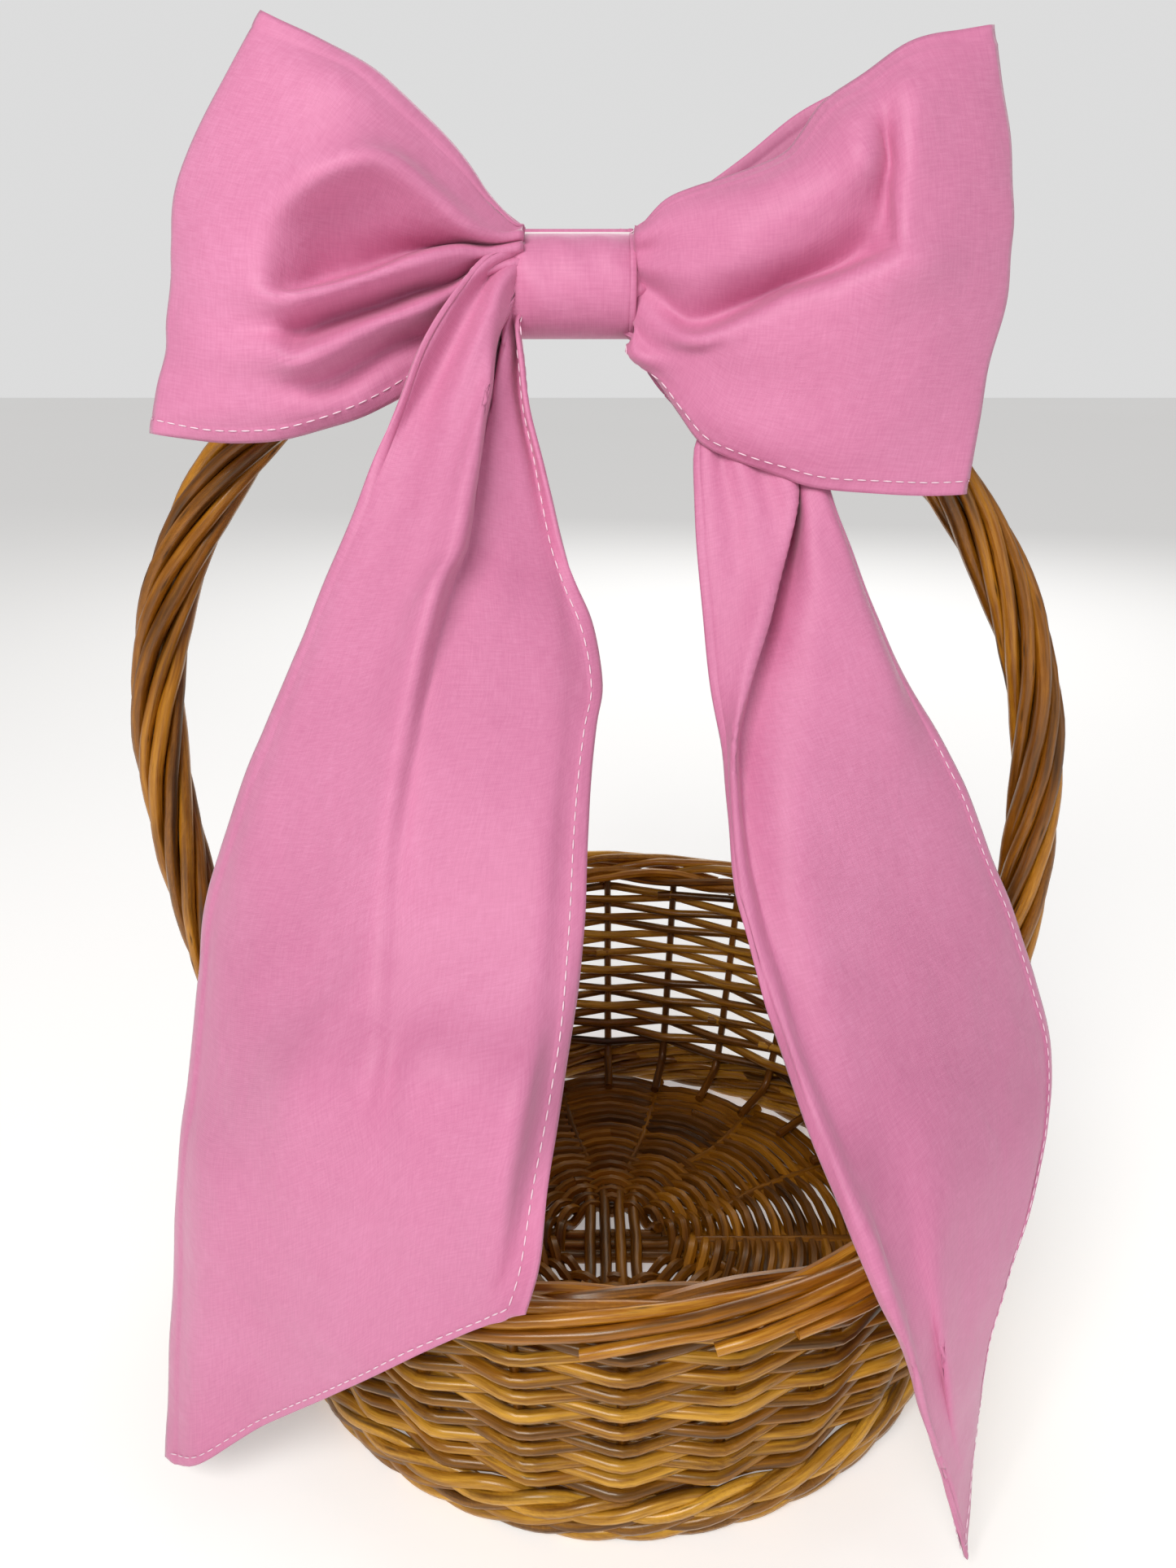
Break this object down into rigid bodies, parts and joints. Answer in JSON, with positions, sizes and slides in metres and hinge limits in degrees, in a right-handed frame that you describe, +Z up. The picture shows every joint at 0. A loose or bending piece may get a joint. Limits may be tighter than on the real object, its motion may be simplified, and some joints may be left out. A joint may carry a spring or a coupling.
{
  "type": "gift basket",
  "caption": "Round willow basket with a tall twisted-rod handle and a strapped-on cotton bow with two long tails.",
  "frame": {"origin": "middle of the basket's underside, on the middle stick of the base", "axes": "+Z up along the basket's axis, handle in the XZ plane, bow and its tails towards -Y"},
  "size_m": [0.3182, 0.3081, 0.4223],
  "materials": {
    "willow_varnished": "clear varnish, honey brown",
    "willow_inner": "thin varnish, darker brown",
    "cotton_pink": "fine plain-weave cotton, pressed",
    "tape_white": "white hook-and-loop tape"
  },
  "bodies": {
    "basket": {"base_stick_lower_1": "willow_inner", "base_stick_lower_2": "willow_inner", "base_stick_lower_3": "willow_inner", "base_stick_upper_1": "willow_inner", "base_stick_upper_2": "willow_inner", "base_stick_upper_3": "willow_inner", "base_stick_upper_4": "willow_inner", "base_weave": "willow_inner", "foot_wale": "willow_varnished", "stake_01": "willow_varnished", "stake_02": "willow_varnished", "stake_03": "willow_varnished", "stake_04": "willow_varnished", "stake_05": "willow_varnished", "stake_06": "willow_varnished", "stake_07": "willow_varnished", "stake_08": "willow_varnished", "stake_09": "willow_varnished", "stake_10": "willow_varnished", "stake_11": "willow_varnished", "stake_12": "willow_varnished", "stake_13": "willow_varnished", "stake_14": "willow_varnished", "stake_15": "willow_varnished", "stake_16": "willow_varnished", "stake_17": "willow_varnished", "stake_18": "willow_varnished", "stake_19": "willow_varnished", "stake_20": "willow_varnished", "stake_21": "willow_varnished", "stake_22": "willow_varnished", "stake_23": "willow_varnished", "stake_24": "willow_varnished", "stake_25": "willow_varnished", "stake_26": "willow_varnished", "weaver_a_lower": "willow_varnished", "weaver_a_upper": "willow_varnished", "weaver_b_lower": "willow_varnished", "weaver_b_upper": "willow_varnished", "border_front": "willow_varnished", "border_back": "willow_varnished", "border_liner": "willow_varnished", "handle_core": "willow_inner", "handle_strand_1": "willow_varnished", "handle_strand_2": "willow_varnished", "handle_strand_3": "willow_varnished", "handle_strand_4": "willow_varnished", "handle_strand_5": "willow_varnished", "handle_strand_6": "willow_varnished", "handle_strand_7": "willow_varnished", "handle_strand_8": "willow_varnished"},
    "bow": {"bow_band": "cotton_pink", "bow_knot": "cotton_pink", "bow_loop_left": "cotton_pink", "bow_loop_right": "cotton_pink", "hook_tape": "tape_white"},
    "tab": {"closure_tab": "cotton_pink", "loop_tape": "tape_white"},
    "left_tail": {"bow_tail_left": "cotton_pink"},
    "right_tail": {"bow_tail_right": "cotton_pink"}
  },
  "joints": [
    {"name": "bow_swivel", "type": "hinge", "parent": "basket", "child": "bow", "pos_m": [-0.01488, 0, 0.36], "axis": [-1, 0, 0], "range_deg": [0, 40]},
    {"name": "closure_peel", "type": "hinge", "parent": "bow", "child": "tab", "pos_m": [-0.01488, 0.01362, 0.35365], "axis": [-1, 0, 0], "range_deg": [0, 100]},
    {"name": "left_tail_lift", "type": "hinge", "parent": "bow", "child": "left_tail", "pos_m": [-0.03588, -0.0185, 0.36], "axis": [-1, 0, 0], "range_deg": [0, 45]},
    {"name": "right_tail_lift", "type": "hinge", "parent": "bow", "child": "right_tail", "pos_m": [0.03512, -0.03, 0.318], "axis": [-1, 0, 0], "range_deg": [0, 30]}
  ]
}
